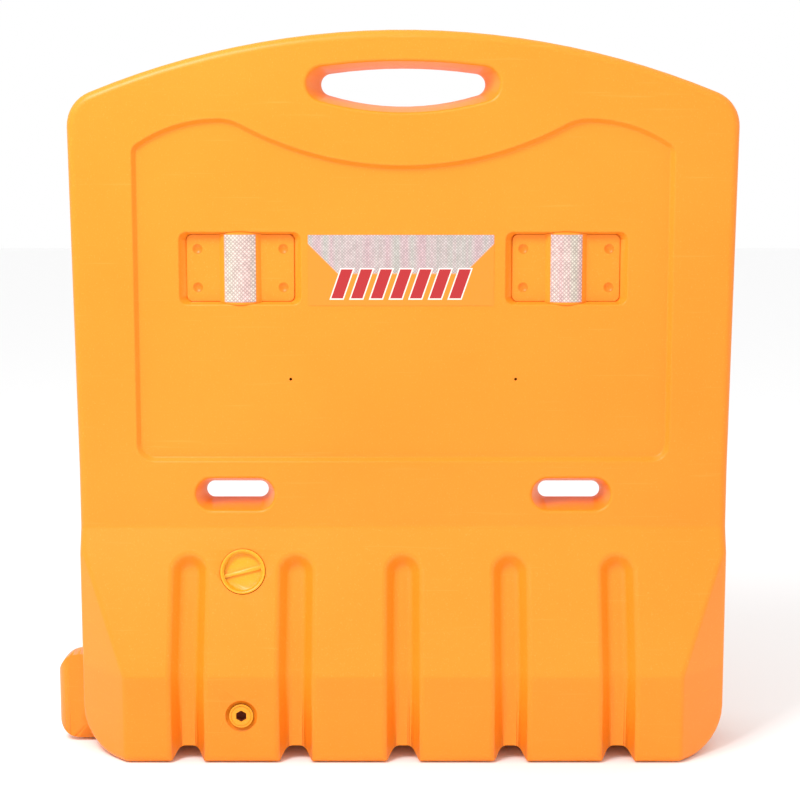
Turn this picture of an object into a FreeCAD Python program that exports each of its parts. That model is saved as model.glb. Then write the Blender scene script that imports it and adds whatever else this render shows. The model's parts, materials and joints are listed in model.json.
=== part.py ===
"""Water filled pedestrian barrier, 1 m tall, moulded in one hollow shell of polyethylene.

Millimetres, +Z up, X along the width, Y through the thickness. Each piece is drawn about the
middle of the moulding and then moved along X, so that the origin is on the ground at the centre
of the overall footprint, which takes in the coupling lug.
A thin upper panel stands on a wider ballast base. Front and back faces are alike, and the
filler, the drain and the two vents are on the front, at -Y.
"""
import FreeCAD, Part
import math
import os

V = FreeCAD.Vector

# Shell: front outline
HEIGHT = 1000.0
BASE_HALF = 451.2        # to each end face, up to where the sides start to spread
SPREAD = 6.0             # each side is this much further out at the shoulder
SPREAD_START = 400.0
SPREAD_END = 872.0
ARCH_R = 1133.0          # arched top
SHOULDER_R = 50.0
FOOT_R = 62.0
# Shell: section through the thickness, and the cut corners of the base
PANEL_HALF = 45.0
BASE_HALF_DEPTH = 117.0
SLOPE_TOP = 318.0
SLOPE_FOOT = 123.0
CORNER_X = 67.5
CORNER_Y = 66.0
EDGE_R = 12.0
WALL = 5.0
# Recessed field of the panel
FIELD_HALF = 369.5
FIELD_BOTTOM = 410.0
FIELD_DEPTH = 7.0
FIELD_DRAFT = 6.0
FIELD_FOOT_R = 25.0
FIELD_CORNER_R = 16.0
CREST_X = 251.0
CREST_Z = 881.6
CREST_OUT_R = 200.0
TROUGH_Z = 818.5
TROUGH_R = 465.0
FIELD_EDGE_R = 3.0
# Four pockets for the reflector plates
POCKET_X = 224.0
POCKET_Z = 678.0
POCKET_DEPTH = 14.0
POCKET_FLOOR_X = 74.0
POCKET_FLOOR_Z = 46.2
POCKET_DRAFT_X = 10.0
POCKET_DRAFT_Z = 3.3
POCKET_R = 8.0
POCKET_EDGE_R = 2.5
# Hand hole
HAND_HALF = 112.5
HAND_END_R = 15.0
HAND_TOP = 949.4
HAND_BOTTOM = 898.0
HAND_MID = 927.5
HAND_FLARE_END = 20.0
HAND_FLARE_UP = 9.0
# Two through slots for straps
SLOT_X = 234.0
SLOT_Z = 364.0
SLOT_HALF = 43.5
SLOT_R = 11.5
SLOT_FLARE = 12.0
MOUTH_EDGE_R = 5.0
# Flutes down the slope and the foot, and on under the base as channels
FLUTE_PITCH = 148.5
FLUTES = 5
FLUTE_TOP = 259.0        # centre of the rounded top end
FLUTE_DEPTH = 17.5
FLUTE_UNDER = 20.5
FLUTE_HALF = 25.0
FLUTE_FLOOR = 11.0
FLUTE_FLOOR_R = 13.0
FLUTE_LIP_R = 12.0
LIP_EXIT = 9.0           # degrees between the end of the lip round and the face it runs out on
# Coupling tongue on the left end, and the groove that takes a neighbour's tongue on the right
LUG_REACH = 41.8
LUG_R = 19.0
LUG_LOW = 5.0
LUG_HIGH = 127.5
LUG_HIGH_R = 33.0
LUG_LOW_R = 30.0
SOCKET_GAP = 3.0
# Vents
VENT_X = 155.5
VENT_Z = 525.0
VENT_R = 2.0
# Filler, square to the slope, midway between two flutes
FILLER_X = -1.5 * FLUTE_PITCH
FILLER_Z = 259.5
FILLER_SEAT_R = 32.0
FILLER_SEAT = 3.0
BUNG_RIM_R = 31.2
BUNG_RIM = 3.4
BUNG_CUP_R = 25.7
BUNG_CUP = 7.0
BUNG_CUP_FLOOR = 2.5
BUNG_SHANK_R = 27.7
BUNG_SKIRT = 2.5
BUNG_BAR = 5.0
BUNG_BAR_HIGH = 3.5
BUNG_BAR_TURN = 14.0
INSERT_LONG = 16.0
INSERT_WALL = 3.0
INSERT_FLANGE = 5.5
FLANGE_THICK = 3.0
# Drain, square to the foot, under the filler
DRAIN_Z = 68.0
DRAIN_SEAT_R = 22.0
DRAIN_SEAT = 4.0
PLUG_RIM_R = 16.5
PLUG_RIM = 2.2
PLUG_SHANK_R = 13.2
PLUG_SHANK = 12.6
PLUG_HEX = 14.0
PLUG_HEX_DEEP = 12.0
BUSH_LONG = 14.0
BUSH_WALL = 3.6
GASKET = 1.6
THREAD_GAP = 0.1
FIT_GAP = 0.1
# Reflector plates, rivets and reflective film
PLATE = 3.0
PLATE_GAP = 0.3
RIDGE_HALF = 29.0
RIDGE_HIGH = 13.0
RIVET_X = 59.0
RIVET_Z = 26.5
RIVET_HEAD_R = 7.0
RIVET_SHANK_R = 3.0
RIVET_CONE = 2.8
RIVET_DISH = 2.0
RIVET_CLINCH_R = 4.2
RIVET_CLINCH = 2.0
RIVET_DRAW = 1.6         # length of the cone behind the clinched end
FILM = 0.5
FILM_GAP = 0.1
RIDGE_FILM_WIDE = 42.5
RIDGE_FILM_TALL = 92.5
SHEET_X = -3.0
SHEET_Z = 675.5
SHEET_HALF_X = 127.5
SHEET_HALF_Z = 48.5

RUN = (BASE_HALF_DEPTH - PANEL_HALF) / (SLOPE_TOP - SLOPE_FOOT)
SLOPE_TILT = math.atan(RUN)
FIELD_FACE = PANEL_HALF - FIELD_DEPTH
POCKET_FACE = FIELD_FACE - POCKET_DEPTH
INSERT_BORE = BUNG_SHANK_R + THREAD_GAP
INSERT_R = INSERT_BORE + INSERT_WALL
BUSH_BORE = PLUG_SHANK_R + THREAD_GAP
BUSH_R = BUSH_BORE + BUSH_WALL


def arc(cx, cz, r, a0, a1, y):
    """Arc in a plane of constant y, angles in degrees from +X towards +Z."""
    turns = [math.radians(a) for a in (a0, (a0 + a1) / 2, a1)]
    return Part.Arc(*[V(cx + r * math.cos(a), y, cz + r * math.sin(a)) for a in turns]).toShape()


def shell_outline(inset):
    """Front outline of the shell, moved inwards by inset."""
    half = BASE_HALF - inset
    foot = FOOT_R - inset
    shoulder = SHOULDER_R - inset
    arch = ARCH_R - inset
    arch_z = HEIGHT - ARCH_R
    spread_long = math.hypot(SPREAD, SPREAD_END - SPREAD_START)
    ux = SPREAD / spread_long
    uz = (SPREAD_END - SPREAD_START) / spread_long
    # the shoulder arc touches the spreading side and the arched top
    bx = half - uz * shoulder
    bz = SPREAD_START + ux * shoulder
    b = 2 * (bx * ux + (bz - arch_z) * uz)
    c = bx ** 2 + (bz - arch_z) ** 2 - (arch - shoulder) ** 2
    t = (math.sqrt(b * b - 4 * c) - b) / 2
    cx = bx + t * ux
    cz = bz + t * uz
    a_side = math.degrees(math.atan2(-ux, uz))
    a_top = math.degrees(math.atan2(cz - arch_z, cx))
    side_x = cx + uz * shoulder
    side_z = cz - ux * shoulder
    edges = [
        Part.makeLine(V(foot - half, 0, inset), V(half - foot, 0, inset)),
        arc(half - foot, inset + foot, foot, -90, 0, 0),
        Part.makeLine(V(half, 0, inset + foot), V(half, 0, SPREAD_START)),
        Part.makeLine(V(half, 0, SPREAD_START), V(side_x, 0, side_z)),
        arc(cx, cz, shoulder, a_side, a_top, 0),
        arc(0, arch_z, arch, a_top, 180 - a_top, 0),
        arc(-cx, cz, shoulder, 180 - a_top, 180 - a_side, 0),
        Part.makeLine(V(-side_x, 0, side_z), V(-half, 0, SPREAD_START)),
        Part.makeLine(V(-half, 0, SPREAD_START), V(-half, 0, inset + foot)),
        arc(foot - half, inset + foot, foot, 180, 270, 0),
    ]
    return Part.Wire(edges)


def prism(points, along):
    """Straight prism on a closed polygon."""
    return Part.Face(Part.makePolygon(points + points[:1])).extrude(along)


def shell_form(inset):
    """Plain shell: front outline, section through the thickness and plan, with round edges."""
    front = Part.Face(shell_outline(inset)).extrude(V(0, 4 * BASE_HALF_DEPTH, 0))
    front.translate(V(0, -2 * BASE_HALF_DEPTH, 0))
    long = 2 * (BASE_HALF + SPREAD + CORNER_X)
    drop = inset * (math.hypot(1, RUN) - 1) / RUN
    side = [
        (BASE_HALF_DEPTH - inset, -HEIGHT / 10),
        (BASE_HALF_DEPTH - inset, SLOPE_FOOT - drop),
        (PANEL_HALF - inset, SLOPE_TOP - drop),
        (PANEL_HALF - inset, 1.1 * HEIGHT),
    ]
    ring = side + [(-y, z) for y, z in reversed(side)]
    section = prism([V(-long / 2, y, z) for y, z in ring], V(long, 0, 0))
    reach = CORNER_Y * BASE_HALF + CORNER_X * (BASE_HALF_DEPTH - CORNER_Y)
    reach -= inset * math.hypot(CORNER_X, CORNER_Y)
    end = BASE_HALF + 2 * SPREAD
    depth = BASE_HALF_DEPTH - inset
    corner = [
        (end, (reach - CORNER_Y * end) / CORNER_X),
        ((reach - CORNER_X * depth) / CORNER_Y, depth),
    ]
    half_ring = corner + [(-x, y) for x, y in reversed(corner)]
    ring = half_ring + [(-x, -y) for x, y in half_ring]
    plan = prism([V(x, y, -HEIGHT / 10) for x, y in ring], V(0, 0, 1.2 * HEIGHT))
    form = front.common(section).common(plan).Solids[0]
    return form.makeFillet(EDGE_R - inset, form.Edges)


def loft(wires):
    """Solid with straight sides between closed wires of as many edges each."""
    return Part.makeLoft(wires, True, True)


def both_faces(tool):
    """The tool and its mirror image on the other face of the panel."""
    return [tool, tool.mirror(V(0, 0, 0), V(0, 1, 0))]


def field_wire(shrink, y):
    """Outline of the recessed field: two crests, a trough between them, round corners."""
    half = FIELD_HALF - shrink
    low = FIELD_BOTTOM + shrink
    foot = FIELD_FOOT_R - shrink
    corner = FIELD_CORNER_R - shrink
    out = CREST_OUT_R - shrink
    # crest and trough arcs touch where their centres' distance is the sum of the radii
    lift = CREST_Z - TROUGH_Z
    both = (CREST_X ** 2 + lift ** 2) / (2 * lift)
    trough = TROUGH_R + shrink
    crest = both - TROUGH_R - shrink
    trough_z = TROUGH_Z + TROUGH_R
    crest_z = CREST_Z - (both - TROUGH_R)
    a_meet = math.degrees(math.atan2(trough_z - crest_z, -CREST_X))
    out_z = CREST_Z - CREST_OUT_R
    corner_x = half - corner
    corner_z = out_z + math.sqrt((out - corner) ** 2 - (corner_x - CREST_X) ** 2)
    a_out = math.degrees(math.atan2(corner_z - out_z, corner_x - CREST_X))
    edges = [
        Part.makeLine(V(foot - half, y, low), V(half - foot, y, low)),
        arc(half - foot, low + foot, foot, -90, 0, y),
        Part.makeLine(V(half, y, low + foot), V(half, y, corner_z)),
        arc(corner_x, corner_z, corner, 0, a_out, y),
        arc(CREST_X, out_z, out, a_out, 90, y),
        arc(CREST_X, crest_z, crest, 90, a_meet, y),
        arc(0, trough_z, trough, a_meet - 180, -a_meet, y),
        arc(-CREST_X, crest_z, crest, 180 - a_meet, 90, y),
        arc(-CREST_X, out_z, out, 90, 180 - a_out, y),
        arc(-corner_x, corner_z, corner, 180 - a_out, 180, y),
        Part.makeLine(V(-half, y, corner_z), V(-half, y, low + foot)),
        arc(foot - half, low + foot, foot, 180, 270, y),
    ]
    return Part.Wire(edges)


def field_cut(grow):
    """What the recessed field takes out of one face, made larger by grow."""
    slope = FIELD_DRAFT / FIELD_DEPTH
    outer = -grow - slope * grow
    return loft([
        field_wire(outer, -PANEL_HALF - grow),
        field_wire(outer + slope * (FIELD_DEPTH + 2 * grow), grow - FIELD_FACE),
    ])


def rounded_rectangle(cx, cz, hx, hz, r, y):
    """Closed wire in a plane of constant y."""
    edges = []
    for k, (sx, sz) in enumerate(((1, -1), (1, 1), (-1, 1), (-1, -1))):
        edges.append(arc(cx + sx * (hx - r), cz + sz * (hz - r), r, 90 * k - 90, 90 * k, y))
    ring = []
    for k in range(4):
        ring.append(edges[k])
        start = edges[k].Vertexes[1].Point
        end = edges[(k + 1) % 4].Vertexes[0].Point
        ring.append(Part.makeLine(start, end))
    return Part.Wire(ring)


def pocket_room(x, inset):
    """Space inside one pocket, from its floor to past its mouth, inset from its walls."""
    hx = POCKET_FLOOR_X - inset
    hz = POCKET_FLOOR_Z - inset
    r = POCKET_R - inset
    share = (POCKET_DEPTH + FIELD_DEPTH) / POCKET_DEPTH
    mouth_x = hx + POCKET_DRAFT_X * share
    mouth_z = hz + POCKET_DRAFT_Z * share
    return loft([
        rounded_rectangle(x, POCKET_Z, hx, hz, r, -POCKET_FACE),
        rounded_rectangle(x, POCKET_Z, mouth_x, mouth_z, r + POCKET_DRAFT_Z, -PANEL_HALF),
    ])


def pocket_cut(x, grow):
    """What one pocket takes out of the front of the field, made larger by grow."""
    out = grow + FIELD_DEPTH
    share = (POCKET_DEPTH + out) / POCKET_DEPTH
    floor_x = POCKET_FLOOR_X + grow
    floor_z = POCKET_FLOOR_Z + grow
    mouth_x = floor_x + POCKET_DRAFT_X * share
    mouth_z = floor_z + POCKET_DRAFT_Z * share
    r = POCKET_R + grow
    return loft([
        rounded_rectangle(x, POCKET_Z, floor_x, floor_z, r, grow - POCKET_FACE),
        rounded_rectangle(x, POCKET_Z, mouth_x, mouth_z, r + POCKET_DRAFT_Z, -FIELD_FACE - out),
    ])


def lens(half, end_r, top, bottom, y):
    """Closed wire: two flat arcs, one above and one below, that run into round ends."""
    p = half - end_r
    rise = top - HAND_MID
    fall = HAND_MID - bottom
    upper = (p * p + rise * rise - end_r ** 2) / (2 * (rise - end_r))
    lower = (p * p + fall * fall - end_r ** 2) / (2 * (fall - end_r))
    a_up = math.degrees(math.atan2(HAND_MID - top + upper, p))
    a_low = math.degrees(math.atan2(HAND_MID - bottom - lower, p))
    return Part.Wire([
        arc(0, top - upper, upper, 180 - a_up, a_up, y),
        arc(p, HAND_MID, end_r, a_up, a_low, y),
        arc(0, bottom + lower, lower, a_low, -180 - a_low, y),
        arc(-p, HAND_MID, end_r, 180 - a_low, 180 - a_up, y),
    ])


def hand_cut(grow):
    """Half of the hand hole, from the middle plane to the front face and a little past it."""
    wires = []
    for share in (0.0, 1.0 + EDGE_R / PANEL_HALF):
        side = grow + share * HAND_FLARE_END
        up = grow + share * HAND_FLARE_UP
        half = HAND_HALF + side
        end_r = HAND_END_R + up
        wires.append(lens(half, end_r, HAND_TOP + up, HAND_BOTTOM - up, -share * PANEL_HALF))
    return loft(wires)


def stadium(cx, cz, half, r, y):
    """Closed wire: two lines and two half circles."""
    p = half - r
    return Part.Wire([
        Part.makeLine(V(cx - p, y, cz - r), V(cx + p, y, cz - r)),
        arc(cx + p, cz, r, -90, 90, y),
        Part.makeLine(V(cx + p, y, cz + r), V(cx - p, y, cz + r)),
        arc(cx - p, cz, r, 90, 270, y),
    ])


def slot_cut(x, grow):
    """Half of one strap slot, from the middle plane to the front face and a little past it."""
    wires = []
    for share in (0.0, 1.0 + EDGE_R / PANEL_HALF):
        more = grow + share * SLOT_FLARE
        wires.append(stadium(x, SLOT_Z, SLOT_HALF + more, SLOT_R + more, -share * PANEL_HALF))
    return loft(wires)


def flute_section(depth, grow):
    """Half round groove with open walls: wire in X and Z, its floor at -depth - grow.

    Without grow the walls end in round lips; with grow it is the cavity's side of the wall.
    """
    steep = math.atan2(FLUTE_HALF - FLUTE_FLOOR, FLUTE_DEPTH)
    floor_half = FLUTE_FLOOR + grow * (1 / math.cos(steep) - math.tan(steep))
    r = FLUTE_FLOOR_R
    low = -depth - grow
    flat = floor_half - r * math.tan((math.pi / 2 - steep) / 2)
    bend = math.degrees(steep)
    wall_x = flat + r * math.cos(steep)
    wall_z = low + r - r * math.sin(steep)
    edges = [arc(flat, low + r, r, -90, -bend, 0)]
    if grow:
        rise = 2 * EDGE_R
        edge_x = wall_x + (rise - wall_z) * math.tan(steep)
        edges.append(Part.makeLine(V(wall_x, 0, wall_z), V(edge_x, 0, rise)))
    else:
        # the lip is tangent to the wall and leaves the face at a small angle
        lip = FLUTE_LIP_R
        a_exit = 90 + LIP_EXIT
        lip_x = FLUTE_HALF + lip * math.tan((math.pi / 2 - steep) / 2)
        lip_z = -lip
        start_x = lip_x - lip * math.cos(steep)
        start_z = lip_z + lip * math.sin(steep)
        edges.append(Part.makeLine(V(wall_x, 0, wall_z), V(start_x, 0, start_z)))
        edges.append(arc(lip_x, lip_z, lip, 180 - bend, a_exit, 0))
        rise = 1.0
        end_x = lip_x + lip * math.cos(math.radians(a_exit))
        end_z = lip_z + lip * math.sin(math.radians(a_exit))
        edge_x = end_x + (rise - end_z) / math.tan(math.radians(LIP_EXIT))
        edges.append(Part.makeLine(V(end_x, 0, end_z), V(edge_x, 0, rise)))
    right = Part.Wire(edges)
    left = right.mirror(V(0, 0, 0), V(1, 0, 0))
    floor = Part.makeLine(V(-flat, 0, low), V(flat, 0, low))
    lid = Part.makeLine(V(-edge_x, 0, rise), V(edge_x, 0, rise))
    return Part.Wire(Part.__sortEdges__([floor, lid] + right.Edges + left.Edges))


def placed(shape, origin, along, out):
    """Shape drawn with Y along and Z out, moved to origin."""
    across = along.cross(out)
    matrix = FreeCAD.Matrix(
        across.x, along.x, out.x, origin.x,
        across.y, along.y, out.y, origin.y,
        across.z, along.z, out.z, origin.z,
        0, 0, 0, 1,
    )
    return shape.transformed(matrix)


def flute_cut(x, grow):
    """One flute: down the front slope and foot, under the base, and up the back."""
    face = Part.Face(flute_section(FLUTE_DEPTH, grow))
    slope_long = (FLUTE_TOP - SLOPE_FOOT) / math.cos(SLOPE_TILT)
    trough = face.extrude(V(0, slope_long + FLUTE_DEPTH, 0))
    box = face.BoundBox
    keep = Part.makeBox(box.XMax, 2, box.ZLength, V(0, -1, box.ZMin))
    dome = face.common(keep).revolve(V(0, 0, 0), V(0, 0, 1), 360)
    trough = trough.fuse(dome)
    foot = face.extrude(V(0, 1.5 * SLOPE_FOOT, 0))
    under = Part.Face(flute_section(FLUTE_UNDER, grow)).extrude(V(0, 4 * BASE_HALF_DEPTH, 0))
    top_y = PANEL_HALF + (SLOPE_TOP - FLUTE_TOP) * RUN
    pieces = [placed(under, V(x, 2 * BASE_HALF_DEPTH, 0), V(0, -1, 0), V(0, 0, -1))]
    for side in (-1, 1):
        down = V(0, side * math.sin(SLOPE_TILT), -math.cos(SLOPE_TILT))
        out = V(0, side * math.cos(SLOPE_TILT), math.sin(SLOPE_TILT))
        pieces.append(placed(trough, V(x, side * top_y, FLUTE_TOP), down, out))
        start = V(x, side * BASE_HALF_DEPTH, SLOPE_FOOT + FLUTE_DEPTH)
        pieces.append(placed(foot, start, V(0, 0, -1), V(0, side, 0)))
    return pieces[0].fuse(pieces[1:])


def flute_places():
    """X of each flute."""
    return [(k - (FLUTES - 1) / 2) * FLUTE_PITCH for k in range(FLUTES)]


def coupling(end_x, grow, low, high):
    """Upright tongue with a round nose to the left: the lug, its hollow or the groove, by grow."""
    r = LUG_R + grow
    nose_x = end_x - LUG_REACH + LUG_R
    root_x = end_x + 2 * WALL
    return Part.Face(Part.Wire([
        Part.makeLine(V(root_x, -r, low), V(nose_x, -r, low)),
        Part.Arc(V(nose_x, -r, low), V(nose_x - r, 0, low), V(nose_x, r, low)).toShape(),
        Part.makeLine(V(nose_x, r, low), V(root_x, r, low)),
        Part.makeLine(V(root_x, r, low), V(root_x, -r, low)),
    ])).extrude(V(0, 0, high - low))


def lug(grow):
    """Coupling lug on the left end, rounded off above and below, made larger by grow."""
    low = LUG_LOW - grow
    high = LUG_HIGH + grow
    body = coupling(-BASE_HALF, grow, low, high)
    tip = -BASE_HALF - LUG_REACH - grow
    high_r = LUG_HIGH_R + grow
    low_r = LUG_LOW_R + grow
    inner = V(-BASE_HALF + 2 * WALL, -LUG_R, 0)
    ring = Part.Wire([
        Part.makeLine(V(inner.x, 0, low), V(inner.x, 0, high)),
        Part.makeLine(V(inner.x, 0, high), V(tip + high_r, 0, high)),
        arc(tip + high_r, high - high_r, high_r, 90, 180, 0),
        Part.makeLine(V(tip, 0, high - high_r), V(tip, 0, low + low_r)),
        arc(tip + low_r, low + low_r, low_r, 180, 270, 0),
        Part.makeLine(V(tip + low_r, 0, low), V(inner.x, 0, low)),
    ])
    outline = Part.Face(ring).extrude(V(0, 4 * LUG_R, 0))
    outline.translate(V(0, -2 * LUG_R, 0))
    return body.common(outline)


def filler_frame():
    """Centre of the filler on the slope, and the direction out of it."""
    y = -PANEL_HALF - (SLOPE_TOP - FILLER_Z) * RUN
    return V(FILLER_X, y, FILLER_Z), V(0, -math.cos(SLOPE_TILT), math.sin(SLOPE_TILT))


def drain_frame():
    """Centre of the drain on the foot, and the direction out of it."""
    return V(FILLER_X, -BASE_HALF_DEPTH, DRAIN_Z), V(0, -1, 0)


def disc(frame, r, deep, shallow, bore=0.0):
    """Cylinder or ring on a frame's axis, from deep to shallow below the face it is in."""
    at, out = frame
    solid = Part.makeCylinder(r, deep - shallow, at - out * deep, out)
    if bore:
        solid = solid.cut(Part.makeCylinder(bore, deep - shallow, at - out * deep, out))
    return solid


def edges_at(shape, inside):
    """Edges whose whole box passes the test."""
    return [e for e in shape.Edges if inside(e.BoundBox)]


def near(box, y, lo, hi):
    """True where an edge lies in the plane y and inside lo to hi in X and Z."""
    flat = abs(box.YMin - y) < 0.01 and abs(box.YMax - y) < 0.01
    across = lo[0] <= box.XMin and box.XMax <= hi[0]
    return flat and across and lo[1] <= box.ZMin and box.ZMax <= hi[1]


def soften(shape, y, centre, half, r):
    """Rounds the edges in the planes y and -y inside a window about centre."""
    lo = (centre[0] - half[0], centre[1] - half[1])
    hi = (centre[0] + half[0], centre[1] + half[1])
    found = edges_at(shape, lambda b: near(b, y, lo, hi) or near(b, -y, lo, hi))
    return shape.makeFillet(r, found)


def tank_outside():
    """Outer skin of the moulding, as one full solid."""
    body = shell_form(0.0)
    for tool in both_faces(field_cut(0.0)):
        body = body.cut(tool)
    middle = (0, (FIELD_BOTTOM + CREST_Z) / 2)
    window = (FIELD_HALF + 1, (CREST_Z - FIELD_BOTTOM) / 2 + 1)
    body = soften(body, PANEL_HALF, middle, window, FIELD_EDGE_R)
    body = soften(body, FIELD_FACE, middle, window, FIELD_EDGE_R)
    for x in (-POCKET_X, POCKET_X):
        for tool in both_faces(pocket_cut(x, 0.0)):
            body = body.cut(tool)
        window = (POCKET_FLOOR_X + 2 * POCKET_DRAFT_X, POCKET_FLOOR_Z + 3 * POCKET_DRAFT_Z)
        body = soften(body, FIELD_FACE, (x, POCKET_Z), window, POCKET_EDGE_R)
    for tool in both_faces(hand_cut(0.0)):
        body = body.cut(tool)
    for x in (-SLOT_X, SLOT_X):
        for tool in both_faces(slot_cut(x, 0.0)):
            body = body.cut(tool)
        window = (SLOT_HALF + 2 * SLOT_FLARE, SLOT_R + 2 * SLOT_FLARE)
        body = soften(body, PANEL_HALF, (x, SLOT_Z), window, MOUTH_EDGE_R)
    window = (HAND_HALF + 2 * HAND_FLARE_END, HAND_TOP - HAND_MID + 2 * HAND_FLARE_UP)
    body = soften(body, PANEL_HALF, (0, HAND_MID), window, MOUTH_EDGE_R)
    for x in flute_places():
        body = body.cut(flute_cut(x, 0.0))
    return body.fuse(lug(0.0))


def tank_inside():
    """Hollow of the moulding: the same forms, a wall thickness further in."""
    body = shell_form(WALL)
    tools = both_faces(field_cut(WALL)) + both_faces(hand_cut(WALL))
    for x in (-1, 1):
        tools += both_faces(pocket_cut(x * POCKET_X, WALL))
        tools += both_faces(slot_cut(x * SLOT_X, WALL))
    tools += [flute_cut(x, WALL) for x in flute_places()]
    tools.append(disc(filler_frame(), FILLER_SEAT_R + WALL, FILLER_SEAT + WALL, -WALL))
    tools.append(disc(drain_frame(), DRAIN_SEAT_R + WALL, DRAIN_SEAT + WALL, -WALL))
    tools.append(socket(WALL))
    for tool in tools:
        body = body.cut(tool)
    return body.fuse(lug(-WALL))


def socket(grow):
    """Upright groove in the right end, open at the foot, for a neighbour's lug."""
    gap = SOCKET_GAP + grow
    return coupling(BASE_HALF, gap, -WALL, LUG_HIGH + gap)


def rivet_places(x):
    """Centres of the four rivets of a plate."""
    return [(x + i * RIVET_X, POCKET_Z + k * RIVET_Z) for i in (-1, 1) for k in (-1, 1)]


def tank_body():
    """One hollow moulding with its seats, vents, rivet holes and end socket."""
    tools = [
        tank_inside(),
        socket(0.0),
        disc(filler_frame(), FILLER_SEAT_R, FILLER_SEAT, -WALL),
        disc(filler_frame(), INSERT_R + FIT_GAP, FILLER_SEAT + 2 * WALL, 0),
        disc(drain_frame(), DRAIN_SEAT_R, DRAIN_SEAT, -WALL),
        disc(drain_frame(), BUSH_R + FIT_GAP, DRAIN_SEAT + 2 * WALL, 0),
    ]
    for x in (-VENT_X, VENT_X):
        tools.append(Part.makeCylinder(VENT_R, 3 * WALL, V(x, -PANEL_HALF, VENT_Z), V(0, 1, 0)))
    for x in (-POCKET_X, POCKET_X):
        for rx, rz in rivet_places(x):
            start = V(rx, -PANEL_HALF, rz)
            hole = Part.makeCylinder(RIVET_SHANK_R + FIT_GAP, 2 * PANEL_HALF, start, V(0, 1, 0))
            tools.append(hole)
    body = tank_outside()
    for tool in tools:
        body = body.cut(tool)
    return body


def filler_insert():
    """Threaded ring moulded into the wall, held from inside by its flange."""
    frame = filler_frame()
    ring = disc(frame, INSERT_R, FILLER_SEAT + INSERT_LONG, FILLER_SEAT)
    under = FILLER_SEAT + WALL + FIT_GAP
    flange = disc(frame, INSERT_R + INSERT_FLANGE, under + FLANGE_THICK, under)
    bore = disc(frame, INSERT_BORE, FILLER_SEAT + INSERT_LONG + 1, -1)
    return ring.fuse(flange).cut(bore).removeSplitter()


def filler_gasket():
    """Flat ring between the insert and the rim of the bung."""
    top = FILLER_SEAT - GASKET + FIT_GAP
    return disc(filler_frame(), INSERT_R - FIT_GAP, FILLER_SEAT, top, INSERT_BORE)


def turned(frame, turn):
    """Unit vector square to a frame's axis, turned from level about that axis."""
    out = frame[1]
    level = V(1, 0, 0)
    up = out.cross(level)
    return level * math.cos(math.radians(turn)) + up * math.sin(math.radians(turn))


def filler_bung():
    """Cup shaped screw plug with a raised rim and a bar across the cup to turn it by."""
    frame = filler_frame()
    at, out = frame
    under = FILLER_SEAT - GASKET
    top = under - BUNG_RIM
    floor = top + BUNG_CUP
    foot = FILLER_SEAT + INSERT_LONG
    rim = disc(frame, BUNG_RIM_R, under, top)
    rim = rim.makeFillet(BUNG_RIM / 3, [e for e in rim.Edges if len(e.Vertexes) == 1])
    body = rim.fuse(disc(frame, BUNG_SHANK_R, foot, under))
    body = body.cut(disc(frame, BUNG_CUP_R, floor, top - 1))
    skirt = BUNG_SHANK_R - BUNG_SKIRT
    body = body.cut(disc(frame, skirt, foot + 1, floor + BUNG_CUP_FLOOR))
    side = turned(frame, BUNG_BAR_TURN)
    bar = Part.makeBox(2 * BUNG_CUP_R, BUNG_BAR, BUNG_BAR_HIGH + BUNG_CUP_FLOOR / 2)
    bar.translate(V(-BUNG_CUP_R, -BUNG_BAR / 2, 0))
    start = at - out * (floor + BUNG_CUP_FLOOR / 2)
    bar = placed(bar, start, out.cross(side), out)
    return body.fuse(bar.common(disc(frame, BUNG_SHANK_R, foot, top))).removeSplitter()


def drain_bush():
    """Threaded bush moulded into the foot, held from inside by its flange."""
    frame = drain_frame()
    body = disc(frame, BUSH_R, DRAIN_SEAT + BUSH_LONG, DRAIN_SEAT)
    under = DRAIN_SEAT + WALL + FIT_GAP
    flange = disc(frame, BUSH_R + INSERT_FLANGE, under + FLANGE_THICK, under)
    return body.fuse(flange).cut(disc(frame, BUSH_BORE, DRAIN_SEAT + BUSH_LONG, 0)).removeSplitter()


def drain_gasket():
    """Flat ring between the bush and the rim of the drain plug."""
    top = DRAIN_SEAT - GASKET + FIT_GAP
    return disc(drain_frame(), PLUG_RIM_R, DRAIN_SEAT, top, BUSH_BORE)


def drain_plug():
    """Screw plug with a flat rim, a raised ring on it and a hexagon socket."""
    frame = drain_frame()
    at, out = frame
    under = DRAIN_SEAT - GASKET
    top = under - PLUG_RIM
    body = disc(frame, PLUG_RIM_R, under, top)
    body = body.makeChamfer(PLUG_RIM / 4, [e for e in body.Edges if len(e.Vertexes) == 1])
    body = body.fuse(disc(frame, PLUG_SHANK_R, under + PLUG_SHANK, under))
    groove = PLUG_RIM_R - PLUG_RIM
    body = body.cut(disc(frame, groove, top + PLUG_RIM / 4, top, groove - PLUG_RIM / 2))
    corner = PLUG_HEX / math.sqrt(3)
    start = at - out * (top + PLUG_HEX_DEEP)
    turns = [math.radians(60 * k + 30) for k in range(6)]
    ring = [start + V(corner * math.cos(a), 0, corner * math.sin(a)) for a in turns]
    return body.cut(prism(ring, out * (PLUG_HEX_DEEP + 1))).removeSplitter()


def back(shape, side):
    """The shape as drawn for the front, or turned half round for the back."""
    if side < 0:
        return shape
    turned_shape = shape.copy()
    turned_shape.rotate(V(0, 0, 0), V(0, 0, 1), 180)
    return turned_shape


def ridge_r():
    """Outer radius of the ridge, from its width and its rise over the plate."""
    return (RIDGE_HALF ** 2 + RIDGE_HIGH ** 2) / (2 * RIDGE_HIGH)


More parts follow.
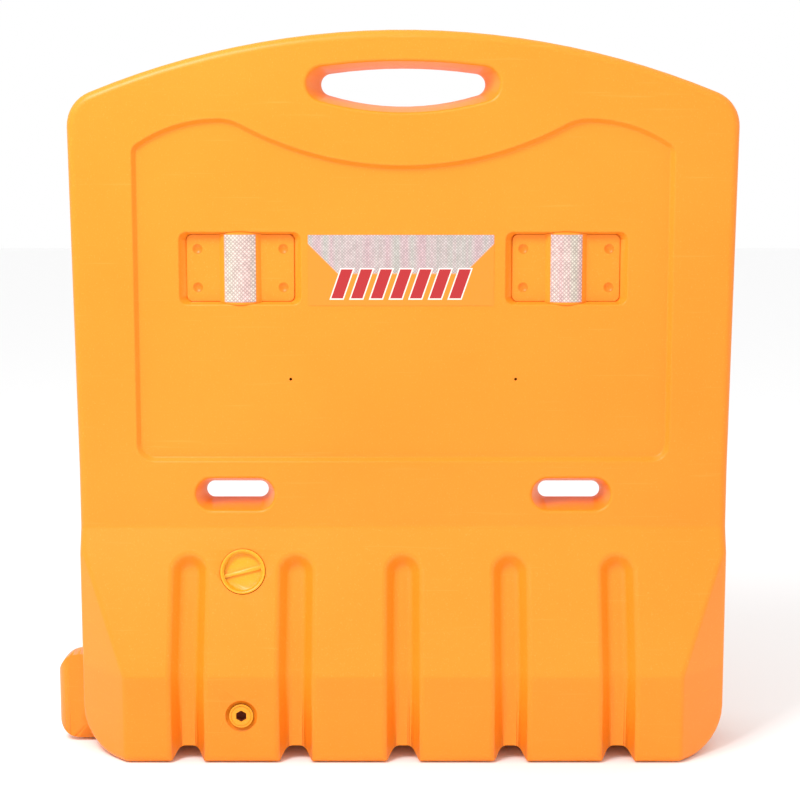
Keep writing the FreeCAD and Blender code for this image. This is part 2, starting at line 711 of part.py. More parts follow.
def ridge_band(x, half, r_out, r_in, high, tall):
    """Upright strip between two arcs about the ridge's own axis."""
    face_y = POCKET_FACE + PLATE
    r = ridge_r()
    spread = math.asin(half / r)
    ring = []
    for radius in (r_out, r_in):
        points = [(radius * math.sin(a), radius * math.cos(a)) for a in (-spread, 0, spread)]
        ring.append([V(x + px, -face_y - high + r - py, POCKET_Z - tall / 2) for px, py in points])
    outer, inner = ring
    wire = Part.Wire([
        Part.Arc(*outer).toShape(),
        Part.makeLine(outer[2], inner[2]),
        Part.Arc(*reversed(inner)).toShape(),
        Part.makeLine(inner[0], outer[0]),
    ])
    return Part.Face(wire).extrude(V(0, 0, tall))


def reflector_plate(x, side):
    """Flat plate with four countersunk holes and an upright half round ridge, hollow behind.

    The ends of the ridge lean out along the walls of the pocket.
    """
    hx = POCKET_FLOOR_X - PLATE_GAP
    hz = POCKET_FLOOR_Z - PLATE_GAP
    face = Part.Face(rounded_rectangle(x, POCKET_Z, hx, hz, POCKET_R - PLATE_GAP, -POCKET_FACE))
    plate = face.extrude(V(0, -PLATE, 0))
    r = ridge_r()
    ridge = ridge_band(x, RIDGE_HALF, r, r - PLATE, RIDGE_HIGH, 2 * (hz + 2 * POCKET_DRAFT_Z))
    plate = plate.fuse(ridge.common(pocket_room(x, PLATE_GAP)))
    tunnel_half = RIDGE_HALF - PLATE
    tunnel_r = r - PLATE
    tunnel = ridge_band(x, tunnel_half, tunnel_r, 1.0, RIDGE_HIGH, 2 * hz)
    behind = Part.makeBox(2 * RIDGE_HALF, RIDGE_HIGH + PLATE, 2 * hz)
    behind.translate(V(x - RIDGE_HALF, -POCKET_FACE - RIDGE_HIGH - PLATE, POCKET_Z - hz))
    plate = plate.cut(tunnel.common(behind))
    for rx, rz in rivet_places(x):
        top = V(rx, -POCKET_FACE - PLATE, rz)
        head_r = RIVET_HEAD_R + FIT_GAP
        shank_r = RIVET_SHANK_R + FIT_GAP
        plate = plate.cut(Part.makeCone(head_r, shank_r, RIVET_CONE, top, V(0, 1, 0)))
        plate = plate.cut(Part.makeCylinder(shank_r, PLATE, top, V(0, 1, 0)))
    return back(plate.removeSplitter(), side)


def rivet(x, z):
    """Countersunk plastic rivet: dished head flush with the plate, clinched behind the wall."""
    top = V(x, -POCKET_FACE - PLATE, z)
    into = V(0, 1, 0)
    grip = PLATE + WALL + FIT_GAP
    body = Part.makeCone(RIVET_HEAD_R, RIVET_SHANK_R, RIVET_CONE, top, into)
    body = body.fuse(Part.makeCylinder(RIVET_SHANK_R, grip + RIVET_CLINCH, top, into))
    clinch = Part.makeCylinder(RIVET_CLINCH_R, RIVET_CLINCH, top + into * grip, into)
    tail = top + into * (grip + RIVET_CLINCH)
    body = body.fuse(clinch)
    body = body.fuse(Part.makeCone(RIVET_CLINCH_R, RIVET_SHANK_R, RIVET_DRAW, tail, into))
    rim = RIVET_HEAD_R - RIVET_DISH / 2
    dish_r = (rim ** 2 + RIVET_DISH ** 2) / (2 * RIVET_DISH)
    dish = Part.makeSphere(dish_r, top - into * (dish_r - RIVET_DISH))
    return body.removeSplitter().cut(dish)


def rivets(x, side):
    """The four rivets of one plate, as separate solids."""
    return Part.Compound([back(rivet(rx, rz), side) for rx, rz in rivet_places(x)])


def ridge_film(x, side):
    """Strip of reflective film bent over the ridge."""
    r = ridge_r() + FILM_GAP
    return back(ridge_band(x, RIDGE_FILM_WIDE / 2, r + FILM, r, RIDGE_HIGH, RIDGE_FILM_TALL), side)


def reflective_sheet(side):
    """Flat rectangle of reflective film stuck in the middle of the field."""
    low = V(SHEET_X - SHEET_HALF_X, -FIELD_FACE - FILM, SHEET_Z - SHEET_HALF_Z)
    return back(Part.makeBox(2 * SHEET_HALF_X, FILM, 2 * SHEET_HALF_Z, low), side)


def main():
    os.makedirs("parts", exist_ok=True)
    nodes = {
        "tank_body": tank_body(),
        "filler_insert": filler_insert(),
        "filler_gasket": filler_gasket(),
        "filler_bung": filler_bung(),
        "drain_bush": drain_bush(),
        "drain_gasket": drain_gasket(),
        "drain_plug": drain_plug(),
    }
    for face, side in (("front", -1), ("back", 1)):
        nodes["reflective_sheet_" + face] = reflective_sheet(side)
        for end, x in (("left", -POCKET_X), ("right", POCKET_X)):
            # left and right are named from the front, and the back is the front turned round
            place = face + "_" + end
            drawn_x = -side * x
            nodes["reflector_plate_" + place] = reflector_plate(drawn_x, side)
            nodes["plate_rivets_" + place] = rivets(drawn_x, side)
            nodes["ridge_film_" + place] = ridge_film(drawn_x, side)
    for name, shape in nodes.items():
        shape.translate(V((LUG_REACH - SPREAD) / 2, 0, 0))
        print(name, shape.isValid(), len(shape.Solids), round(shape.Volume / 1000, 2))
        shape.exportStep(os.path.join("parts", name + ".step"))


main()
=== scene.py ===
import bpy
import json
import math
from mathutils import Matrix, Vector


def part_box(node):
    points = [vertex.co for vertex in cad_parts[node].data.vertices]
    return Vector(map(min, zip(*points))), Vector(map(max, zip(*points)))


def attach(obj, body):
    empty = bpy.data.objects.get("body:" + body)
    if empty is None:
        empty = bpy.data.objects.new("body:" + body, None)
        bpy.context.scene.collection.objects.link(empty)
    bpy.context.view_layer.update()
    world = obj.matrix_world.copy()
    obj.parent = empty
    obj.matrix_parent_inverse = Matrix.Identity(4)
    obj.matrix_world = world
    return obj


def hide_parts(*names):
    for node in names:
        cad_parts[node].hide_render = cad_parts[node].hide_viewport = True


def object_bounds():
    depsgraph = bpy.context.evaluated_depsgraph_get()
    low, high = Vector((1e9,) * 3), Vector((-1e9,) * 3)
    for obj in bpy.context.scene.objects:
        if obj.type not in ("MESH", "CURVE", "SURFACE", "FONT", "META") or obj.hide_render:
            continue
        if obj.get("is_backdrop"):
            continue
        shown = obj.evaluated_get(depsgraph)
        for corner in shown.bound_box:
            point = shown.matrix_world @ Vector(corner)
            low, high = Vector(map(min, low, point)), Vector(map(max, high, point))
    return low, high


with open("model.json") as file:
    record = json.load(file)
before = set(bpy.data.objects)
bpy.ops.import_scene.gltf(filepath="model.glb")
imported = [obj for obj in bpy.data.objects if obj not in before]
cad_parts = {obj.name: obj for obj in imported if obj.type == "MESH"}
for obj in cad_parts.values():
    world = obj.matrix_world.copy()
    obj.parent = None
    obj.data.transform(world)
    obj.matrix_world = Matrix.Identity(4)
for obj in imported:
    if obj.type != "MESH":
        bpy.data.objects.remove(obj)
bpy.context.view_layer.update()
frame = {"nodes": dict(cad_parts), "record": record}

# ---------------------------------------------------------------------------
# The tank: one hollow moulding of orange polyethylene, made by turning powder
# in a heated steel mould. It has a satin skin with a fine grain, a faint line
# down each end where the mould parts, soft corners and slightly uneven colour.
# Its foot is painted a slightly deeper tone as shade.
# ---------------------------------------------------------------------------
MM = 0.001
MOULD_GRAIN = 2.2 * MM          # one pebble, drawn coarser than the real grain so that it shows
PARTING_LINE = 0.8 * MM         # half the width of the raised line
SWELL = 70 * MM                 # from one hollow of the skin to the next
CLOUD = 312 * MM                # from one patch of tone to the next
FLECK = 2.381 * MM              # from one pigment fleck to the next, most of it plain
RUB = (111.1 * MM, 16.67 * MM, 3.333 * MM)      # from one dry rub to the next, each way
RUB_LEAN = (0.3, 0.5, 0.2)      # radians
CREASE = 123 * MM               # height at which the upright foot turns into the slope
CREASE_BLUR = 6 * MM
MERGE = 0.01 * MM               # corners nearer than this are one


def linear(code):
    """Linear colour with alpha from an sRGB hex value."""
    steps = [int(code[i:i + 2], 16) / 255 for i in (1, 3, 5)]
    return tuple(c / 12.92 if c <= 0.04045 else ((c + 0.055) / 1.055) ** 2.4 for c in steps) + (1.0,)


def add(tree, kind, links=None, **settings):
    """Adds a node to a tree, with its settings, and with its inputs set or linked."""
    made = tree.nodes.new(kind)
    for name, value in settings.items():
        setattr(made, name, value)
    for socket, value in (links or {}).items():
        if isinstance(value, bpy.types.NodeSocket):
            tree.links.new(value, made.inputs[socket])
        else:
            made.inputs[socket].default_value = value
    return made


def new_material(name):
    """A new material, its tree, its shader joined to the output, and Object coordinates."""
    made = bpy.data.materials.new(name)
    made.use_nodes = True
    tree = made.node_tree
    tree.nodes.clear()
    shader = add(tree, "ShaderNodeBsdfPrincipled")
    add(tree, "ShaderNodeOutputMaterial", {"Surface": shader.outputs["BSDF"]})
    place = add(tree, "ShaderNodeTexCoord").outputs["Object"]
    return made, tree, shader, place


def satin_plastic(name, body, deep, pale, grain, roughness, shine=0.0, parted_and_foot_shaded=False):
    """Moulded plastic: cloudy from deep to body, with pale flecks and rubs and a pebbled grain.

    Shine adds a thin gloss; the last flag adds the tank's mould line and its foot painted a deeper
    tone as shade.
    """
    made, tree, shader, place = new_material(name)
    cloud = add(tree, "ShaderNodeTexNoise", {"Vector": place, "Scale": 1 / CLOUD, "Detail": 3.0})
    tone = add(tree, "ShaderNodeValToRGB", {"Fac": cloud.outputs["Fac"]})
    tone.color_ramp.elements[0].position = 0.32
    tone.color_ramp.elements[0].color = linear(deep)
    tone.color_ramp.elements[1].position = 0.68
    tone.color_ramp.elements[1].color = linear(body)
    # pigment flecks in the powder, under a millimetre across
    speck = add(tree, "ShaderNodeTexNoise", {"Vector": place, "Scale": 1 / FLECK, "Detail": 1.0})
    fleck = add(tree, "ShaderNodeMapRange", {
        "Value": speck.outputs["Fac"], "From Min": 0.60, "From Max": 0.78, "To Max": 0.22})
    # long dry rubs from stacking, a few centimetres long and under a millimetre wide
    lie = add(tree, "ShaderNodeMapping", {
        "Vector": place, "Rotation": RUB_LEAN, "Scale": [1 / gap for gap in RUB]})
    streak = add(tree, "ShaderNodeTexNoise", {"Vector": lie.outputs["Vector"], "Scale": 1.0,
                                              "Detail": 2.0})
    rub = add(tree, "ShaderNodeMapRange", {
        "Value": streak.outputs["Fac"], "From Min": 0.66, "From Max": 0.80, "To Max": 0.20})
    pale_share = add(tree, "ShaderNodeMath", {0: fleck.outputs["Result"], 1: rub.outputs["Result"]},
                     operation="MAXIMUM")
    skin = add(tree, "ShaderNodeMix", {"Factor": pale_share.outputs["Value"], "B": linear(pale)},
               data_type="RGBA")
    tree.links.new(tone.outputs["Color"], skin.inputs["A"])
    colour = skin.outputs["Result"]
    if parted_and_foot_shaded:
        # the foot is painted a slightly deeper tone as shade, up to the crease where the slope
        # begins
        rise = add(tree, "ShaderNodeSeparateXYZ", {"Vector": place}).outputs["Z"]
        low = add(tree, "ShaderNodeMapRange", {
            "Value": rise, "From Min": CREASE - CREASE_BLUR, "From Max": CREASE + CREASE_BLUR,
            "To Min": 1.0, "To Max": 0.0})
        foot = add(tree, "ShaderNodeMix", {
            "Factor": low.outputs["Result"], "A": colour, "B": (1.0, 0.94, 0.80, 1.0)},
            data_type="RGBA", blend_type="MULTIPLY")
        colour = foot.outputs["Result"]
    tree.links.new(colour, shader.inputs["Base Color"])
    gloss = add(tree, "ShaderNodeMapRange", {
        "Value": cloud.outputs["Fac"], "To Min": roughness - 0.05, "To Max": roughness + 0.06})
    dull = add(tree, "ShaderNodeMath", {0: rub.outputs["Result"], 1: gloss.outputs["Result"]},
               operation="ADD")
    tree.links.new(dull.outputs["Value"], shader.inputs["Roughness"])
    swell = add(tree, "ShaderNodeTexNoise", {"Vector": place, "Scale": 1 / SWELL, "Detail": 1.0})
    wave = add(tree, "ShaderNodeBump", {"Height": swell.outputs["Fac"], "Strength": 0.3,
                                        "Distance": 1.2 * MM})
    pebble = add(tree, "ShaderNodeTexNoise", {"Vector": place, "Scale": 1 / grain, "Detail": 2.0})
    pitted = add(tree, "ShaderNodeBump", {"Height": pebble.outputs["Fac"], "Strength": 0.25,
                                          "Distance": grain / 8, "Normal": wave.outputs["Normal"]})
    last = pitted
    if parted_and_foot_shaded:
        across = add(tree, "ShaderNodeSeparateXYZ", {"Vector": place}).outputs["Y"]
        off = add(tree, "ShaderNodeMath", {0: across}, operation="ABSOLUTE")
        line = add(tree, "ShaderNodeMapRange", {
            "Value": off.outputs["Value"], "From Max": 2 * PARTING_LINE, "To Min": 1.0,
            "To Max": 0.0})
        last = add(tree, "ShaderNodeBump", {"Height": line.outputs["Result"], "Strength": 0.7,
                                            "Distance": PARTING_LINE,
                                            "Normal": pitted.outputs["Normal"]})
    tree.links.new(last.outputs["Normal"], shader.inputs["Normal"])
    shader.inputs["IOR"].default_value = 1.50
    # the grain scatters much of the mirrored light, so less of it shows at a glancing angle
    shader.inputs["Specular IOR Level"].default_value = 0.32
    shader.inputs["Coat Weight"].default_value = shine
    shader.inputs["Coat Roughness"].default_value = 0.25
    shader.inputs["Subsurface Weight"].default_value = 0.10
    shader.inputs["Subsurface Radius"].default_value = (1.0, 0.45, 0.12)
    shader.inputs["Subsurface Scale"].default_value = 4 * MM
    return made


def merged_copy(node, name, angle):
    """Copy of a CAD node with its loose triangles joined, smooth up to an angle in degrees."""
    made = bpy.data.objects.new(name, frame["nodes"][node].data.copy())
    bpy.context.scene.collection.objects.link(made)
    made.data.materials.clear()
    bpy.ops.object.select_all(action="DESELECT")
    bpy.context.view_layer.objects.active = made
    made.select_set(True)
    bpy.ops.object.mode_set(mode="EDIT")
    bpy.ops.mesh.select_all(action="SELECT")
    bpy.ops.mesh.remove_doubles(threshold=MERGE)
    bpy.ops.object.mode_set(mode="OBJECT")
    bpy.ops.object.shade_smooth_by_angle(angle=math.radians(angle))
    weight = made.modifiers.new("flat faces stay flat", "WEIGHTED_NORMAL")
    weight.keep_sharp = True
    weight.weight = 100
    bpy.ops.object.modifier_apply(modifier=weight.name)
    return made


def piece(node, name, material, body, angle):
    """Merged copy of a CAD node in a material, which stands for the node and rides on a body."""
    made = merged_copy(node, name, angle)
    made.data.materials.append(material)
    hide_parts(node)
    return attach(made, body)


tank_skin = satin_plastic("moulded polyethylene, orange", "#f58f22", "#f28a1d", "#ffb65a",
                          grain=MOULD_GRAIN, roughness=0.37, parted_and_foot_shaded=True)
piece("tank_body", "tank_moulding", tank_skin, "tank", angle=32)

# ---------------------------------------------------------------------------
# The filler insert and the drain bush: moulded rings of the same plastic that
# the tank wall closes round, each with a screw thread down its bore.
# ---------------------------------------------------------------------------
FILLER_BORE = 27.8 * MM
FILLER_PITCH = 6 * MM
DRAIN_BORE = 13.3 * MM
DRAIN_PITCH = 1.814 * MM
THREAD_BAND = 0.3 * MM          # how far from the cylinder a face still counts as on it


def cut_thread(made, joint, radius, pitch):
    """Adds a screw thread's relief to a material, on the cylinder of a radius about a joint."""
    depth = 2 * pitch / 3
    facts = [j for j in frame["record"]["behaviour"]["joints"] if j["name"] == joint][0]
    lean = math.atan2(-facts["axis"][1], facts["axis"][2])
    tree = made.node_tree
    shader = [n for n in tree.nodes if n.type == "BSDF_PRINCIPLED"][0]
    place = [n for n in tree.nodes if n.type == "TEX_COORD"][0].outputs["Object"]
    own = add(tree, "ShaderNodeMapping", {
        "Vector": place, "Location": facts["pos_m"], "Rotation": (lean, 0.0, 0.0)},
        vector_type="TEXTURE")
    parts = add(tree, "ShaderNodeSeparateXYZ", {"Vector": own.outputs["Vector"]})
    flat = add(tree, "ShaderNodeCombineXYZ", {"X": parts.outputs["X"], "Y": parts.outputs["Y"]})
    reach = add(tree, "ShaderNodeVectorMath", {0: flat.outputs["Vector"]}, operation="LENGTH")
    round_it = add(tree, "ShaderNodeTexGradient", {"Vector": flat.outputs["Vector"]},
                   gradient_type="RADIAL")
    turns = add(tree, "ShaderNodeMath", {
        0: parts.outputs["Z"], 1: 1 / pitch, 2: round_it.outputs["Fac"]}, operation="MULTIPLY_ADD")
    tooth = add(tree, "ShaderNodeMath", {0: turns.outputs["Value"], 1: 0.5}, operation="PINGPONG")
    here = add(tree, "ShaderNodeMath", {0: reach.outputs["Value"], 1: radius, 2: THREAD_BAND},
               operation="COMPARE")
    height = add(tree, "ShaderNodeMath", {0: tooth.outputs["Value"], 1: here.outputs["Value"]},
                 operation="MULTIPLY")
    below = shader.inputs["Normal"].links[0].from_socket
    relief = add(tree, "ShaderNodeBump", {"Height": height.outputs["Value"], "Strength": 0.9,
                                          "Distance": depth, "Normal": below})
    tree.links.new(relief.outputs["Normal"], shader.inputs["Normal"])
    return made


filler_thread = cut_thread(
    satin_plastic("moulded polyethylene, filler insert", "#ef8a14", "#ea8410", "#ffb65a",
                  grain=1.2 * MM, roughness=0.40),
    "filler_turn", FILLER_BORE, FILLER_PITCH)
piece("filler_insert", "filler_insert_ring", filler_thread, "tank", angle=35)
drain_thread = cut_thread(
    satin_plastic("moulded polyethylene, drain bush", "#e8820f", "#e07c0c", "#ffb65a",
                  grain=1.2 * MM, roughness=0.40),
    "drain_turn", DRAIN_BORE, DRAIN_PITCH)
piece("drain_bush", "drain_bush_ring", drain_thread, "tank", angle=35)

# ---------------------------------------------------------------------------
# The two gaskets: flat rings cut from black rubber sheet, matt and a little
# dusty. Each is squeezed under the rim of its screw plug, and travels out with
# it.
# ---------------------------------------------------------------------------
DUST = 3.333 * MM               # from one smear of dust to the next

rubber, tree, shader, place = new_material("rubber, black, matt")
dust = add(tree, "ShaderNodeTexNoise", {"Vector": place, "Scale": 1 / DUST, "Detail": 3.0})
shade = add(tree, "ShaderNodeValToRGB", {"Fac": dust.outputs["Fac"]})
shade.color_ramp.elements[0].color = linear("#161514")
shade.color_ramp.elements[1].color = linear("#3a3634")
tree.links.new(shade.outputs["Color"], shader.inputs["Base Color"])
skin = add(tree, "ShaderNodeBump", {"Height": dust.outputs["Fac"], "Strength": 0.3,
                                    "Distance": 0.2 * MM})
tree.links.new(skin.outputs["Normal"], shader.inputs["Normal"])
shader.inputs["Roughness"].default_value = 0.78
for node, body in (("filler_gasket", "filler_seal"), ("drain_gasket", "drain_seal")):
    piece(node, node + "_ring", rubber, body, angle=35)

# ---------------------------------------------------------------------------
# The filler bung: injection moulded in polypropylene, a little yellower and
# glossier than the tank, as a cup with a rounded rim and a bar across it, and
# with a screw thread on its skirt.
# ---------------------------------------------------------------------------
FILLER_SHANK = 27.7 * MM
bung_plastic = cut_thread(
    satin_plastic("moulded polypropylene, yellow orange", "#f7a41a", "#f39f14", "#ffcd78",
                  grain=0.9 * MM, roughness=0.34, shine=0.15),
    "filler_turn", FILLER_SHANK, FILLER_PITCH)
piece("filler_bung", "filler_bung_cup", bung_plastic, "filler_bung", angle=35)

# ---------------------------------------------------------------------------
# The drain plug: the same polypropylene, with its hexagon socket painted dark
# as shade in the middle, a groove round its face and a fine pipe thread on its shank.
# ---------------------------------------------------------------------------
DRAIN_SHANK = 13.2 * MM
SOCKET_CORNER = 8.2 * MM        # from the middle of the socket to past its corners
SOCKET_DEEP = 12.6 * MM         # from the tank's face to just past the socket's floor
SOCKET_SHADE_TOP = 1 * MM              # from the tank's face to where the painted shade begins
SOCKET_SHADE_FULL = 3 * MM             # and to where it is at its darkest
plug_plastic = cut_thread(
    satin_plastic("moulded polypropylene, drain plug", "#f5a01a", "#f09814", "#ffcd78",
                  grain=0.9 * MM, roughness=0.34, shine=0.15),
    "drain_turn", DRAIN_SHANK, DRAIN_PITCH)
tree = plug_plastic.node_tree
shader = [n for n in tree.nodes if n.type == "BSDF_PRINCIPLED"][0]
reach = [n for n in tree.nodes if n.type == "VECT_MATH"][0]
along = [n for n in tree.nodes if n.type == "SEPXYZ"][0].outputs["Z"]
# painted shade darkens the socket's walls and floor, below its mouth
near = add(tree, "ShaderNodeMath", {0: reach.outputs["Value"], 1: SOCKET_CORNER},
           operation="LESS_THAN")
sunk = add(tree, "ShaderNodeMapRange", {"Value": along, "From Min": -SOCKET_SHADE_FULL,
                                        "From Max": -SOCKET_SHADE_TOP, "To Min": 1.0, "To Max": 0.0})
above = add(tree, "ShaderNodeMath", {0: along, 1: -SOCKET_DEEP}, operation="GREATER_THAN")
hollow = add(tree, "ShaderNodeMath", {0: near.outputs["Value"], 1: sunk.outputs["Result"]},
             operation="MULTIPLY")
socket_painted_shade = add(tree, "ShaderNodeMath", {0: hollow.outputs["Value"], 1: above.outputs["Value"]},
            operation="MULTIPLY")
# the socket is painted dark brown as shade
dark = add(tree, "ShaderNodeMix", {
    "Factor": socket_painted_shade.outputs["Value"], "A": shader.inputs["Base Color"].links[0].from_socket,
    "B": linear("#7a3a26")}, data_type="RGBA")
tree.links.new(dark.outputs["Result"], shader.inputs["Base Color"])
piece("drain_plug", "drain_plug_screw", plug_plastic, "drain_plug", angle=30)

# ---------------------------------------------------------------------------
# The reflector plates, one in each of the four pockets: injection moulded in
# the tank's colour with a finer grain, with an upright ridge in the middle.
# ---------------------------------------------------------------------------
SIDES = [face + "_" + end for face in ("front", "back") for end in ("left", "right")]
plate_skin = satin_plastic("injection moulded polyethylene, orange", "#f69022", "#f38b1d",
                           "#ffb65a", grain=1.0 * MM, roughness=0.40)
for side in SIDES:
    piece("reflector_plate_" + side, "reflector_plate_shell_" + side, plate_skin, "tank",
          angle=32)

# ---------------------------------------------------------------------------
# The rivets, four in each plate: countersunk and dished, moulded in a stiffer
# plastic that is a little darker, and clinched behind the wall.
# ---------------------------------------------------------------------------
rivet_skin = satin_plastic("moulded polyamide, orange", "#e87d10", "#e2770c", "#ffa948",
                           grain=0.8 * MM, roughness=0.38)
for side in SIDES:
    piece("plate_rivets_" + side, "rivet_set_" + side, rivet_skin, "tank",
          angle=32)

# ---------------------------------------------------------------------------
# The films over the ridges: strips of silver white prismatic film. Small
# metallised pyramids lie in diamonds, and each turns the light its own way.
# Their glints, the shade at each pyramid's foot and the sheen are painted into the colour.
# ---------------------------------------------------------------------------
RIDGE_CELL = 3.8 * MM           # a side of one diamond
CELL_CHANCE = 0.16              # how much brighter one pyramid's painted glint may be than the next
SHEEN_WIDE = 14.29 * MM         # from one upright band of the painted sheen to the next
SHEEN_TALL = 667 * MM


def prismatic_film(name, cell, foot, flank, tip):
    """Film with cells of a size, in three colours: the material, tree, shader and coordinates."""
    made, tree, shader, place = new_material(name)
    spot = add(tree, "ShaderNodeSeparateXYZ", {"Vector": place})
    ways = []
    for sign in ("ADD", "SUBTRACT"):
        lean = add(tree, "ShaderNodeMath", {0: spot.outputs["X"], 1: spot.outputs["Z"]},
                   operation=sign)
        ways.append(add(tree, "ShaderNodeMath", {0: lean.outputs["Value"],
                                                 1: 1 / (cell * math.sqrt(2))},
                        operation="MULTIPLY").outputs["Value"])
    edges = [add(tree, "ShaderNodeMath", {0: way, 1: 0.5}, operation="PINGPONG") for way in ways]
    pyramid = add(tree, "ShaderNodeMath", {0: edges[0].outputs["Value"],
                                           1: edges[1].outputs["Value"]}, operation="MINIMUM")
    # each pyramid is painted greyer at its foot than at its tip, partly the grey lattice
    # between the cells and partly painted shade and highlight, and a few are painted a little
    # brighter as glints
    steps = [add(tree, "ShaderNodeMath", {0: way}, operation="FLOOR") for way in ways]
    own = add(tree, "ShaderNodeCombineXYZ", {"X": steps[0].outputs["Value"],
                                             "Y": steps[1].outputs["Value"]})
    chance = add(tree, "ShaderNodeTexWhiteNoise", {"Vector": own.outputs["Vector"]},
                 noise_dimensions="2D")
    lift = add(tree, "ShaderNodeMath", {0: chance.outputs["Value"], 1: CELL_CHANCE,
                                        2: pyramid.outputs["Value"]}, operation="MULTIPLY_ADD")
    glint = add(tree, "ShaderNodeValToRGB", {"Fac": lift.outputs["Value"]})
    glint.color_ramp.elements[0].position = 0.06
    glint.color_ramp.elements[0].color = linear(foot)
    glint.color_ramp.elements[1].position = 0.56
    glint.color_ramp.elements[1].color = linear(tip)
    glint.color_ramp.elements.new(0.26).color = linear(flank)
    # a painted sheen lies over the colour in upright bands, rosy, white and faintly green
    band = add(tree, "ShaderNodeMapping", {
        "Vector": place, "Scale": (1 / SHEEN_WIDE, 1 / SHEEN_WIDE, 1 / SHEEN_TALL)})
    wide = add(tree, "ShaderNodeTexNoise", {"Vector": band.outputs["Vector"], "Scale": 1.0,
                                            "Detail": 2.0})
    sheen = add(tree, "ShaderNodeValToRGB", {"Fac": wide.outputs["Fac"]})
    sheen.color_ramp.elements[0].position = 0.36
    sheen.color_ramp.elements[0].color = linear("#f7dfe0")
    sheen.color_ramp.elements[1].position = 0.64
    sheen.color_ramp.elements[1].color = linear("#e9eee2")
    sheen.color_ramp.elements.new(0.50).color = linear("#f4ece6")
    cells = add(tree, "ShaderNodeMix", {"Factor": 1.0, "A": glint.outputs["Color"],
                                        "B": sheen.outputs["Color"]},
                data_type="RGBA", blend_type="MULTIPLY")
    tree.links.new(cells.outputs["Result"], shader.inputs["Base Color"])
    relief = add(tree, "ShaderNodeBump", {"Height": pyramid.outputs["Value"], "Strength": 0.35,
                                          "Distance": cell / 5})
    tree.links.new(relief.outputs["Normal"], shader.inputs["Normal"])
    shader.inputs["Metallic"].default_value = 0.15
    shader.inputs["Roughness"].default_value = 0.30
    shader.inputs["Coat Weight"].default_value = 0.4
    shader.inputs["Coat Roughness"].default_value = 0.08
    shader.inputs["IOR"].default_value = 1.52
    return made, tree, shader, spot


ridge_silver = prismatic_film("prismatic film, silver white", RIDGE_CELL,
                              "#b3a19d", "#d6c5c1", "#fdf3ed")[0]
for side in SIDES:
    piece("ridge_film_" + side, "ridge_film_strip_" + side, ridge_silver, "tank",
          angle=40)

# ---------------------------------------------------------------------------
# The flat sheets, one in the middle of each face: the same film with a finer
# cell. Its foot and lower corners are screen printed in orange, with a row of
# slanted red bars edged in white.
# ---------------------------------------------------------------------------
SHEET_CELL = 3.0 * MM
SILVER_DEEP = 53 * MM           # from the top edge to where the orange ink begins
CORNER_DEEP = 12 * MM           # from the top edge to where the slanted sides begin
BARS_RISE = 30 * MM             # from the foot of the sheet to the middle of the bars
BAR_HALF_TALL = 20 * MM
BAR_HALF_WIDE = 8 * MM
BAR_HALF_PITCH = 13.5 * MM
BAR_LEAN = 0.35                 # sideways for each step up
BARS = 7
EDGING = 1.8 * MM
INK_BLUR = 1.2 * MM             # half the width over which the orange ink thins out


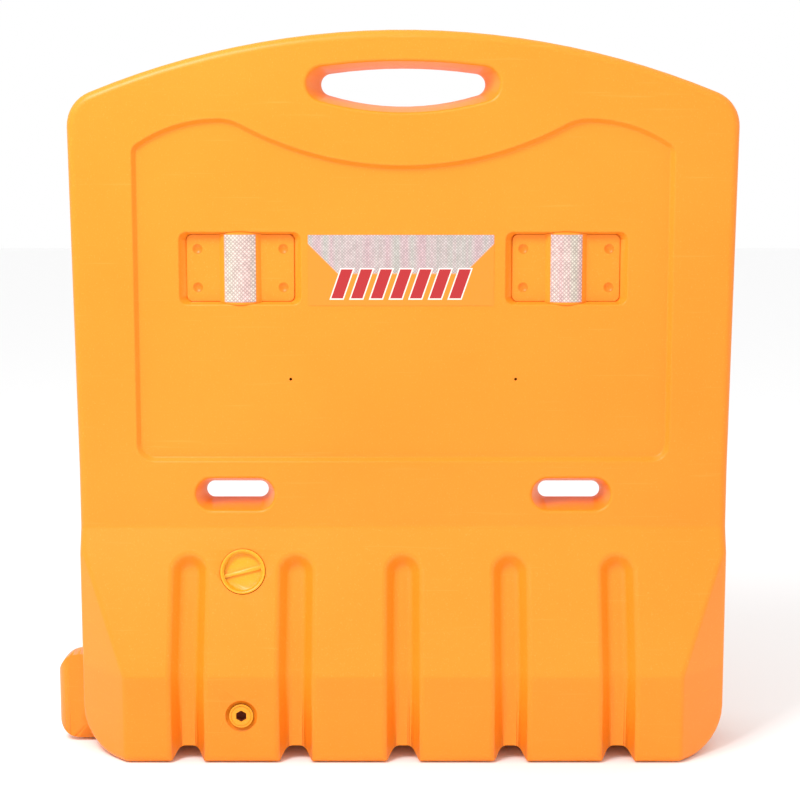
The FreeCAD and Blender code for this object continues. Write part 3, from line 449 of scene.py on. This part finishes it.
def screen_print(tree, shader, spot, low, high):
    """Prints orange ink and red bars over the film of a sheet with these corners."""
    centre = (low.x + high.x) / 2
    half = (high.x - low.x) / 2
    aside = add(tree, "ShaderNodeMath", {0: spot.outputs["X"], 1: centre}, operation="SUBTRACT")
    out = add(tree, "ShaderNodeMath", {0: aside.outputs["Value"]}, operation="ABSOLUTE")
    down = add(tree, "ShaderNodeMath", {0: high.z, 1: spot.outputs["Z"]}, operation="SUBTRACT")
    below = add(tree, "ShaderNodeMath", {0: down.outputs["Value"], 1: SILVER_DEEP},
                operation="SUBTRACT")
    both = add(tree, "ShaderNodeMath", {0: out.outputs["Value"], 1: down.outputs["Value"]},
               operation="ADD")
    beside = add(tree, "ShaderNodeMath", {0: both.outputs["Value"], 1: half + CORNER_DEEP},
                 operation="SUBTRACT")
    past = add(tree, "ShaderNodeMath", {0: below.outputs["Value"], 1: beside.outputs["Value"]},
               operation="MAXIMUM")
    inked = add(tree, "ShaderNodeMapRange", {"Value": past.outputs["Value"],
                                             "From Min": -INK_BLUR, "From Max": INK_BLUR})
    colour = shader.inputs["Base Color"].links[0].from_socket
    orange = add(tree, "ShaderNodeMix", {"Factor": inked.outputs["Result"], "A": colour,
                                         "B": linear("#f28b10")}, data_type="RGBA")
    rise = add(tree, "ShaderNodeMath", {0: spot.outputs["Z"], 1: low.z + BARS_RISE},
               operation="SUBTRACT")
    slant = add(tree, "ShaderNodeMath", {0: rise.outputs["Value"], 1: -BAR_LEAN,
                                         2: aside.outputs["Value"]}, operation="MULTIPLY_ADD")
    beat = add(tree, "ShaderNodeMath", {0: slant.outputs["Value"], 1: BAR_HALF_PITCH},
               operation="PINGPONG")
    wide = add(tree, "ShaderNodeMath", {0: beat.outputs["Value"], 1: BAR_HALF_WIDE},
               operation="SUBTRACT")
    level = add(tree, "ShaderNodeMath", {0: rise.outputs["Value"]}, operation="ABSOLUTE")
    tall = add(tree, "ShaderNodeMath", {0: level.outputs["Value"], 1: BAR_HALF_TALL},
               operation="SUBTRACT")
    ends = add(tree, "ShaderNodeMath", {0: slant.outputs["Value"]}, operation="ABSOLUTE")
    last = add(tree, "ShaderNodeMath", {0: ends.outputs["Value"], 1: BARS * BAR_HALF_PITCH},
               operation="SUBTRACT")
    inside = add(tree, "ShaderNodeMath", {0: wide.outputs["Value"], 1: tall.outputs["Value"]},
                 operation="MAXIMUM")
    off = add(tree, "ShaderNodeMath", {0: inside.outputs["Value"], 1: last.outputs["Value"]},
              operation="MAXIMUM")
    edged = add(tree, "ShaderNodeMath", {0: off.outputs["Value"], 1: EDGING},
                operation="LESS_THAN")
    white = add(tree, "ShaderNodeMix", {"Factor": edged.outputs["Value"],
                                        "A": orange.outputs["Result"], "B": linear("#f7e6dc")},
                data_type="RGBA")
    barred = add(tree, "ShaderNodeMath", {0: off.outputs["Value"], 1: 0.0},
                 operation="LESS_THAN")
    red = add(tree, "ShaderNodeMix", {"Factor": barred.outputs["Value"],
                                      "A": white.outputs["Result"], "B": linear("#b4161c")},
              data_type="RGBA")
    tree.links.new(red.outputs["Result"], shader.inputs["Base Color"])


for face in ("front", "back"):
    node = "reflective_sheet_" + face
    low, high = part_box(node)
    film, tree, shader, spot = prismatic_film("prismatic film, printed, " + face, SHEET_CELL,
                                              "#aba0a2", "#c4babc", "#e4dce0")
    screen_print(tree, shader, spot, low, high)
    piece(node, "sheet_" + face, film, "tank", angle=30)

# ---------------------------------------------------------------------------
# The studio: a pale floor that runs out of sight, an even white surround, one
# soft light high on the left in front, and the camera.
# ---------------------------------------------------------------------------
FLOOR_WIDE = 24
KEY_PLACE = (-1.0, -1.35, 2.3)
KEY_AIM = (0, 0, 0.6)
KEY_SIZE = 0.9
KEY_WATTS = 45
CAMERA_HEIGHT = 0.85
CAMERA_AWAY = 2.5
CAMERA_PITCH = 8.0              # degrees below level
CAMERA_LENS = 80.8              # millimetres, before a sensor of this width
CAMERA_SENSOR = 36.0
CAMERA_SHIFT = (-0.0040, -0.0072)

scene = bpy.context.scene
scene.view_settings.view_transform = "Standard"
scene.view_settings.look = "None"

bpy.ops.mesh.primitive_plane_add(size=FLOOR_WIDE, location=(0, 0, 0))
floor = bpy.context.object
floor.name = "studio_floor"
floor_paint, _, shader, _ = new_material("studio paint, pale")
shader.inputs["Base Color"].default_value = linear("#fafafa")
shader.inputs["Roughness"].default_value = 0.9
shader.inputs["Specular IOR Level"].default_value = 0.2
floor.data.materials.append(floor_paint)
floor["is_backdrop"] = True

world = bpy.data.worlds.new("studio")
scene.world = world
world.use_nodes = True
world.node_tree.nodes["Background"].inputs["Color"].default_value = (1.0, 1.0, 1.0, 1.0)
world.node_tree.nodes["Background"].inputs["Strength"].default_value = 1.0


def soft_light(name, place, aim, size, watts):
    """Square area light that looks at a point."""
    lamp = bpy.data.lights.new(name, "AREA")
    lamp.shape = "SQUARE"
    lamp.size = size
    lamp.energy = watts
    made = bpy.data.objects.new(name, lamp)
    scene.collection.objects.link(made)
    made.location = place
    made.rotation_euler = (Vector(aim) - Vector(place)).to_track_quat("-Z", "Y").to_euler()
    return made


soft_light("key_light", KEY_PLACE, KEY_AIM, KEY_SIZE, KEY_WATTS)

lens = bpy.data.cameras.new("camera")
lens.sensor_width = CAMERA_SENSOR
lens.lens = CAMERA_LENS
lens.shift_x, lens.shift_y = CAMERA_SHIFT
camera = bpy.data.objects.new("camera", lens)
scene.collection.objects.link(camera)
# the camera stands before the middle of the panel, halfway between the two ridges
ridge_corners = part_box("ridge_film_front_left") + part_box("ridge_film_front_right")
middle = sum(corner.x for corner in ridge_corners) / len(ridge_corners)
camera.location = (middle, -CAMERA_AWAY, CAMERA_HEIGHT)
camera.rotation_euler = (math.radians(90 - CAMERA_PITCH), 0, 0)
scene.camera = camera

low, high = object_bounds()
